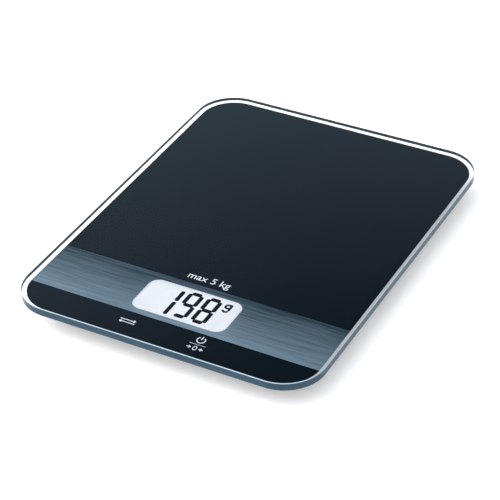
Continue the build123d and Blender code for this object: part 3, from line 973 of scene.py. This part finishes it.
@dataclass
class GlassSigns:
    """The pale signs printed on the underside of the glass, over the black print."""

    thickness: float = 0.012 * MM
    lift: float = 0.006 * MM
    stroke: float = 0.5 * MM
    end_roundness: float = 0.45
    power_centre: Place = (18.1 * MM, -85.7 * MM)
    power_radius: float = 2.2 * MM
    power_gap: float = 34.0
    power_start: float = 0.1 * MM
    power_rise: float = 0.35 * MM
    power_roundness: float = 0.4
    line_centre: Place = (18.2 * MM, -89.1 * MM)
    line_length: float = 8.1 * MM
    line_width: float = 0.22 * MM
    tare_centre: Place = (18.2 * MM, -91.7 * MM)
    unit_centre: Place = (-18.1 * MM, -88.3 * MM)
    sign_width: float = 8.0 * MM
    sign_height: float = 3.0 * MM
    zero_squeeze: float = 0.72
    zero_room: float = 1.9 * MM
    arrow_head: float = 1.3 * MM
    head_spread: float = 0.8
    head_base: float = 0.01 * MM
    head_tip: float = 0.02
    marking: str = "max 5 kg"
    marking_centre: Place = (0.1 * MM, -46.1 * MM)
    marking_size: float = 6.0 * MM
    marking_weight: float = 0.03 * MM

    def level(self) -> float:
        """Find the underside of the signs.

        Returns:
            Its height.
        """
        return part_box("rear_print")[1].z + self.lift

    def at(self, place: Place) -> Vector:
        """Lift a place to the signs' level.

        Args:
            place: Its X and Y.

        Returns:
            The point.
        """
        return Vector((place[0], place[1], self.level()))

    def bar(self, name: str, centre: Place, length: float, width: float) -> Shaper:
        """Model a straight stroke with rounded ends, along X.

        Args:
            name: The stroke's name.
            centre: Its middle.
            length: Its length.
            width: Its width.

        Returns:
            The stroke's shaper.
        """
        half = Vector((length / 2, width / 2, 0))
        low = self.at(centre) - half
        high = self.at(centre) + half + Vector((0, 0, self.thickness))
        shaper = Shaper.box(name, low, high)
        with shaper:
            shaper.round_corners(width * self.end_roundness, 3)
        return shaper

    def ring(self, name: str, centre: Place, radii: Place, squeeze: float, gap: float) -> Shaper:
        """Model a flat ring on the signs' level, open at the back by a gap.

        Args:
            name: The ring's name.
            centre: Its middle.
            radii: Its inner and outer radius.
            squeeze: How wide it is for its height.
            gap: The opening, in degrees to each side of +Y.

        Returns:
            The ring's shaper.
        """
        middle = self.at(centre) + Vector((0, 0, self.thickness / 2))
        return Shaper.ring(name, middle, radii, self.thickness, squeeze, gap)

    def arrow(self, name: str, tail: Place, length: float, facing: int) -> Shaper:
        """Model an arrow along X: a stroke whose end face is drawn out into a head.

        Args:
            name: The arrow's name.
            tail: Where it starts.
            length: How long it is.
            facing: 1 to the right, or -1 to the left.

        Returns:
            The arrow's shaper.
        """
        stem = length - self.arrow_head
        start = self.at(tail)
        ends = sorted((start.x, start.x + facing * stem))
        low = Vector((ends[0], start.y - self.stroke / 2, start.z))
        high = Vector((ends[1], start.y + self.stroke / 2, start.z + self.thickness))
        shaper = Shaper.box(name, low, high)
        tip = Vector((start.x + facing * stem, start.y, start.z + self.thickness / 2))
        wide = 2 * self.arrow_head / self.stroke * self.head_spread
        with shaper:
            shaper.pick_faces(lambda _, normal: normal.x * facing > LEVEL)
            base = facing * self.head_base
            bpy.ops.mesh.extrude_region_move(TRANSFORM_OT_translate={"value": (base, 0, 0)})
            bpy.ops.transform.resize(value=(1, wide, 1), center_override=tip)
            step = facing * self.arrow_head
            bpy.ops.mesh.extrude_region_move(TRANSFORM_OT_translate={"value": (step, 0, 0)})
            bpy.ops.transform.resize(value=(1, self.head_tip, 1), center_override=tip)
        return shaper

    def power_sign(self) -> Shaper:
        """Model the power sign: an open ring and an upright stroke.

        Returns:
            The sign's shaper.
        """
        x, y = self.power_centre
        radii = (self.power_radius - self.stroke, self.power_radius)
        ring = self.ring("power_ring", self.power_centre, radii, 1.0, self.power_gap)
        half = Vector((self.stroke / 2, 0, 0))
        low = self.at((x, y + self.power_start)) - half
        top = y + self.power_radius + self.power_rise
        high = self.at((x, top)) + half + Vector((0, 0, self.thickness))
        stroke = Shaper.box("power_stroke", low, high)
        with stroke:
            stroke.round_corners(self.stroke * self.power_roundness, 3)
        return join([ring, stroke], "power_sign")

    def tare_sign(self) -> Shaper:
        """Model the tare sign: two arrows towards a zero.

        Returns:
            The sign's shaper.
        """
        x, y = self.tare_centre
        radii = (self.sign_height / 2 - self.stroke, self.sign_height / 2)
        zero = self.ring("tare_zero", self.tare_centre, radii, self.zero_squeeze, 0.0)
        length = self.sign_width / 2 - self.zero_room
        left = self.arrow("tare_arrow_left", (x - self.sign_width / 2, y), length, 1)
        right = self.arrow("tare_arrow_right", (x + self.sign_width / 2, y), length, -1)
        return join([zero, left, right], "tare_sign")

    def unit_sign(self) -> Shaper:
        """Model the unit sign: two arrows that pass each other.

        Returns:
            The sign's shaper.
        """
        x, y = self.unit_centre
        half = self.sign_width / 2
        rise = self.sign_height / 2 - self.arrow_head / 2
        upper = self.arrow("unit_arrow_upper", (x - half, y + rise), self.sign_width, 1)
        lower = self.arrow("unit_arrow_lower", (x + half, y - rise), self.sign_width, -1)
        return join([upper, lower], "unit_sign")

    def load_marking(self) -> Shaper:
        """Model the words that give the largest load.

        Returns:
            The marking's shaper.
        """
        centre = self.at(self.marking_centre)
        kind = (self.marking_size, self.thickness, self.marking_weight)
        return Shaper.text("load_marking", self.marking, centre, *kind)

    def build(self) -> None:
        """Model every sign."""
        signs = [
            self.power_sign(),
            self.bar("key_line", self.line_centre, self.line_length, self.line_width),
            self.tare_sign(),
            self.unit_sign(),
            self.load_marking(),
        ]
        for sign in signs:
            sign.finish(WHITE_INK, PLATFORM, Slot.SIGN)


# ---- Underside ----


@dataclass
class FootPads:
    """The rubber pads, with a rounded rim and ring grooves in the tread."""

    sides: int = 72
    rim_radius: float = 0.35 * MM
    grooves: int = 3
    groove_width: float = 0.7 * MM
    land_width: float = 1.1 * MM
    groove_depth: float = 0.5 * MM
    smooth_below: float = 35.0

    def pad(self, corner: str) -> Piece:
        """Model one pad.

        Args:
            corner: The corner that it stands in.

        Returns:
            The pad.
        """
        low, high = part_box(f"foot_pad_{corner}")
        centre = (low + high) / 2
        radius = (high.x - low.x) / 2
        name = f"grooved_pad_{corner}"
        shaper = Shaper.cylinder(name, centre, radius, high.z - low.z, self.sides)
        with shaper:
            shaper.round_rims(self.rim_radius, 3, top=False)
            rings = [self.land_width, self.groove_width] * self.grooves
            edge = radius - self.rim_radius
            shaper.pick_faces(lambda _, normal: normal.z < -LEVEL)
            for n, width in enumerate(rings):
                bpy.ops.mesh.inset(thickness=width)
                edge -= width
                if n % 2:
                    self.sink_groove(shaper, centre, edge, low.z)
        return shaper.smooth(self.smooth_below).finish(
            FOOT_RUBBER, f"foot_{corner}", Slot.RUBBER, [f"foot_pad_{corner}"]
        )

    def sink_groove(self, shaper: Shaper, centre: Vector, edge: float, level: float) -> None:
        """Push the last ring up into the pad, and leave the face inside it selected.

        Args:
            shaper: The pad's shaper.
            centre: The pad's middle.
            edge: The ring's inner radius.
            level: The pad's underside; not used.
        """
        middle = edge + self.groove_width / 2

        def on_ring(place: Vector, normal: Vector) -> bool:
            """Tell whether a face lies on the ring.

            Args:
                place: The face's middle.
                normal: Its normal.

            Returns:
                The answer.
            """
            away = (place - centre).xy.length
            return normal.z < -LEVEL and abs(away - middle) < self.groove_width / 3

        shaper.pick_faces(on_ring)
        move = {"value": (0, 0, self.groove_depth)}
        bpy.ops.mesh.extrude_region_move(TRANSFORM_OT_translate=move)
        shaper.pick_faces(
            lambda place, normal: normal.z < -LEVEL and (place - centre).xy.length < edge / 2
        )

    def build(self) -> None:
        """Model the pads."""
        for corner in CORNERS:
            self.pad(corner)


@dataclass
class CaseScrews:
    """The cover's pan-head screws, each with a cross recess."""

    head_radius: float = 1.9 * MM
    head_height: float = 1.1 * MM
    shank_radius: float = 1.0 * MM
    recess_reach: float = 1.15 * MM
    recess_width: float = 0.55 * MM
    recess_depth: float = 0.7 * MM
    rim_radius: float = 0.4 * MM
    side_screw: Place = (58.0 * MM, 54.0 * MM)
    rear_screw: Place = (22.0 * MM, 83.0 * MM)
    turn: float = 0.9
    smooth_below: float = 35.0

    def places(self) -> list[Place]:
        """Find the middles of the six screws.

        Returns:
            Their places: four at the sides, then two at the rear.
        """
        x, y = self.side_screw
        rear_x, rear_y = self.rear_screw
        corners = [(side * x, end * y) for side in (-1, 1) for end in (-1, 1)]
        return corners + [(side * rear_x, rear_y) for side in (-1, 1)]

    def screw(self, name: str) -> Shaper:
        """Model one screw at the middle of the frame, its head down.

        Args:
            name: The screw's name.

        Returns:
            The screw's shaper.
        """
        low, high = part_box("case_screws")
        middle = Vector((0, 0, low.z + self.head_height / 2))
        shaper = Shaper.cylinder(name, middle, self.head_radius, self.head_height, 32)
        with shaper:
            shaper.pick_faces(lambda _, normal: normal.z > LEVEL)
            bpy.ops.mesh.inset(thickness=self.head_radius - self.shank_radius)
            length = high.z - low.z - self.head_height
            move = {"value": (0, 0, length)}
            bpy.ops.mesh.extrude_region_move(TRANSFORM_OT_translate=move)
            self.pick_rim(shaper, low.z)
            bpy.ops.mesh.bevel(offset=self.rim_radius, segments=4, affect="EDGES")
        self.cut_cross(shaper, low.z)
        return shaper

    def pick_rim(self, shaper: Shaper, level: float) -> None:
        """Select the outer rim of the head's face.

        Args:
            shaper: The screw's shaper.
            level: The height of the head's face.
        """
        shaper.pick_edges(lambda a, b: abs(a.z - level) < TINY and abs(b.z - level) < TINY)

    def cut_cross(self, shaper: Shaper, level: float) -> None:
        """Cut the cross recess into a head.

        Args:
            shaper: The screw's shaper.
            level: The height of the head's face.
        """
        bars = []
        for turn in (0, 1):
            reach = (self.recess_reach, self.recess_width / 2)
            x, y = reach[turn], reach[1 - turn]
            half = Vector((x, y, self.recess_depth))
            face = Vector((0, 0, level))
            bars.append(Shaper.box(f"recess_{turn}", face - half, face + half))
        for tool in bars:
            cut = shaper.piece.modifiers.new("recess", "BOOLEAN")
            cut.operation = "DIFFERENCE"
            cut.solver = "EXACT"
            cut.object = tool.piece
            select_only(shaper.piece)
            bpy.ops.object.modifier_apply(modifier=cut.name)
            bpy.data.objects.remove(tool.piece)

    def build(self) -> Piece:
        """Model the screws as one piece.

        Returns:
            The screws.
        """
        first = self.screw("cross_head_screw")
        copies = []
        for n, (x, y) in enumerate(self.places()):
            copied = first.piece.copy()
            copied.data = first.piece.data.copy()
            bpy.context.scene.collection.objects.link(copied)
            turn = Matrix.Rotation(n * self.turn, 4, "Z")
            copied.data.transform(Matrix.Translation((x, y, 0)) @ turn)
            copies.append(Shaper(copied, f"cross_head_screw_{n}"))
        bpy.data.objects.remove(first.piece)
        whole = join(copies, "cross_head_screws").smooth(self.smooth_below)
        return whole.finish(ZINC_PLATE, PLATFORM, Slot.SCREW, ["case_screws"])


@dataclass
class DoorGrip:
    """The ridges on the battery door's latch tongue."""

    ridges: int = 4
    width: float = 5.6 * MM
    thickness: float = 0.5 * MM
    height: float = 0.22 * MM
    roundness: float = 0.9
    pitch: float = 1.1 * MM
    first: float = 1.1 * MM

    def build(self) -> Piece:
        """Model the ridges.

        Returns:
            The ridges as one piece.
        """
        low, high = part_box("battery_door")
        middle = (low.x + high.x) / 2
        bars = []
        for n in range(self.ridges):
            y = low.y + self.first + n * self.pitch
            start = Vector((middle - self.width / 2, y - self.thickness / 2, low.z - self.height))
            end = Vector((middle + self.width / 2, y + self.thickness / 2, low.z + self.height))
            bar = Shaper.box(f"door_ridge_{n}", start, end)
            with bar:
                bar.round_rims(self.height * self.roundness, 3, top=False)
            bars.append(bar)
        return join(bars, "door_grip_ridges").smooth().finish(MOULDED_CASING, DOOR, Slot.CASING)


@dataclass
class LabelFrame:
    """The plain printed border on the blank rating label."""

    margin: float = 2.0 * MM
    stroke: float = 0.35 * MM
    thickness: float = 0.01 * MM
    corner_radius: float = 1.0 * MM

    def build(self) -> Piece:
        """Model the border as a flat ring under the label.

        Returns:
            The border.
        """
        low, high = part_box("rating_label")
        edge = Vector((self.margin, self.margin, 0))
        start = low + edge
        end = high - edge
        start.z = low.z - 2 * self.thickness
        end.z = low.z - self.thickness
        shaper = Shaper.box("label_border", start, end)
        with shaper:
            shaper.round_corners(self.corner_radius, 6)
            shaper.pick_faces(lambda _, normal: abs(normal.z) > LEVEL)
            bpy.ops.mesh.inset(thickness=self.stroke, use_individual=True)
            bpy.ops.mesh.bridge_edge_loops()
            bpy.ops.mesh.select_all(action="SELECT")
            bpy.ops.mesh.normals_make_consistent(inside=False)
        return shaper.finish(BLACK_PRINT, PLATFORM, Slot.INK)


# ---- Studio ----


@dataclass
class Studio:
    """A pale floor under a bright sky that has one soft dark patch, which the plate reflects."""

    floor_size: float = 12.0
    patch_elevation: float = 49.0
    patch_azimuth: float = 23.0
    patch: tuple[tuple[float, Colour], ...] = (
        (0.0, (0.04, 0.10, 0.15)),
        (10.0, (0.06, 0.13, 0.19)),
        (12.0, (0.11, 0.18, 0.27)),
        (15.0, (0.23, 0.32, 0.45)),
        (18.0, (0.33, 0.49, 0.62)),
        (24.0, (0.60, 0.78, 0.92)),
        (40.0, (1.10, 1.12, 1.15)),
    )
    key_axis: tuple[float, float, float] = (-0.50, -0.42, 0.76)
    key_from: float = 0.66
    key: float = 3.4

    def build(self) -> None:
        """Set the stage."""
        deselect_all()
        bpy.ops.mesh.primitive_plane_add(size=self.floor_size, location=(0, 0, 0))
        floor = bpy.context.object
        floor.name = "studio_floor"
        floor.data.materials.append(FLOOR_PAPER.build())
        floor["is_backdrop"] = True
        self.build_sky()

    def build_sky(self) -> None:
        """Light the studio by the sky: its patch, and a broad soft key from the front left."""
        world = bpy.data.worlds.new("studio_sky")
        bpy.context.scene.world = world
        world.use_nodes = True
        tree = world.node_tree
        coordinates = tree.nodes.new("ShaderNodeTexCoord")
        patch = self.patch_colour(tree, coordinates.outputs["Generated"])
        facing = tree.nodes.new("ShaderNodeVectorMath")
        facing.operation = "DOT_PRODUCT"
        facing.inputs[1].default_value = self.key_axis
        key = remap(tree, facing.outputs["Value"], (self.key_from, 1.0), (0.0, self.key))
        key.interpolation_type = "SMOOTHSTEP"
        total = tree.nodes.new("ShaderNodeVectorMath")
        total.operation = "ADD"
        tree.links.new(coordinates.outputs["Generated"], facing.inputs[0])
        tree.links.new(patch, total.inputs[0])
        tree.links.new(key.outputs["Result"], total.inputs[1])
        tree.links.new(total.outputs["Vector"], tree.nodes["Background"].inputs["Color"])

    def patch_colour(self, tree: Tree, direction: Socket) -> Socket:
        """Colour the sky by its angle from the middle of the patch.

        Args:
            tree: The sky's nodes.
            direction: The socket with the direction of the sky.

        Returns:
            The colour socket.
        """
        rise, turn = math.radians(self.patch_elevation), math.radians(self.patch_azimuth)
        axis = (-math.sin(turn) * math.cos(rise), math.cos(turn) * math.cos(rise), math.sin(rise))
        along = tree.nodes.new("ShaderNodeVectorMath")
        along.operation = "DOT_PRODUCT"
        along.inputs[1].default_value = axis
        angle = tree.nodes.new("ShaderNodeMath")
        angle.operation = "ARCCOSINE"
        share = tree.nodes.new("ShaderNodeMath")
        share.operation = "DIVIDE"
        share.inputs[1].default_value = math.radians(self.patch[-1][0])
        ramp = tree.nodes.new("ShaderNodeValToRGB")
        stops = ramp.color_ramp.elements
        stops.remove(stops[-1])
        for n, (degrees, colour) in enumerate(self.patch):
            stop = stops.new(degrees / self.patch[-1][0]) if n else stops[0]
            stop.color = (*colour, 1.0)
        tree.links.new(direction, along.inputs[0])
        tree.links.new(along.outputs["Value"], angle.inputs[0])
        tree.links.new(angle.outputs["Value"], share.inputs[0])
        tree.links.new(share.outputs["Value"], ramp.inputs["Fac"])
        return ramp.outputs["Color"]


@dataclass
class Viewpoint:
    """The camera: to the right of the front, looking down at the plate."""

    azimuth: float = 29.20
    elevation: float = 35.80
    roll: float = 1.857
    distance: float = 890.30 * MM
    aim: Place = (3.0 * MM, 11.75 * MM)
    lens: float = 135.34
    sensor: float = 36.0

    def build(self) -> None:
        """Add the camera and make it the scene's."""
        turn, rise = math.radians(self.azimuth), math.radians(self.elevation)
        back = Vector(
            (math.sin(turn) * math.cos(rise), -math.cos(turn) * math.cos(rise), math.sin(rise))
        )
        right = Vector((math.cos(turn), math.sin(turn), 0))
        axes = Matrix((right, back.cross(right), back))
        axes = Matrix.Rotation(math.radians(self.roll), 3, "Z") @ axes
        target = Vector((0, 0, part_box("glass_platform")[1].z))
        offset = Vector((*self.aim, -self.distance))
        place = target - axes.transposed() @ offset
        deselect_all()
        bpy.ops.object.camera_add()
        camera = bpy.context.object
        camera.name = "viewpoint"
        camera.matrix_world = Matrix.Translation(place) @ axes.transposed().to_4x4()
        camera.data.lens = self.lens
        camera.data.sensor_width = self.sensor
        camera.data.clip_end = 100.0
        bpy.context.scene.camera = camera


# ---- The whole ----


@dataclass
class KitchenScale:
    """Every sub-assembly that is modelled around the frame."""

    assemblies: list = field(
        default_factory=lambda: [
            GlassPlate(),
            Display(),
            GlassSigns(),
            FootPads(),
            CaseScrews(),
            DoorGrip(),
            LabelFrame(),
        ]
    )

    def build(self) -> None:
        """Build the sub-assemblies in order."""
        for assembly in self.assemblies:
            LOG.info("building %s", type(assembly).__name__)
            assembly.build()


def main() -> None:
    """Dress the frame, build the new pieces and set the studio."""
    logging.basicConfig(level=logging.INFO, format="%(message)s")
    cad_box = [corner.copy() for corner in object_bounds()]
    bpy.context.scene.view_settings.view_transform = "Standard"
    dress_frame()
    Viewpoint().build()
    KitchenScale().build()
    Studio().build()


if __name__ == "__main__":
    main()
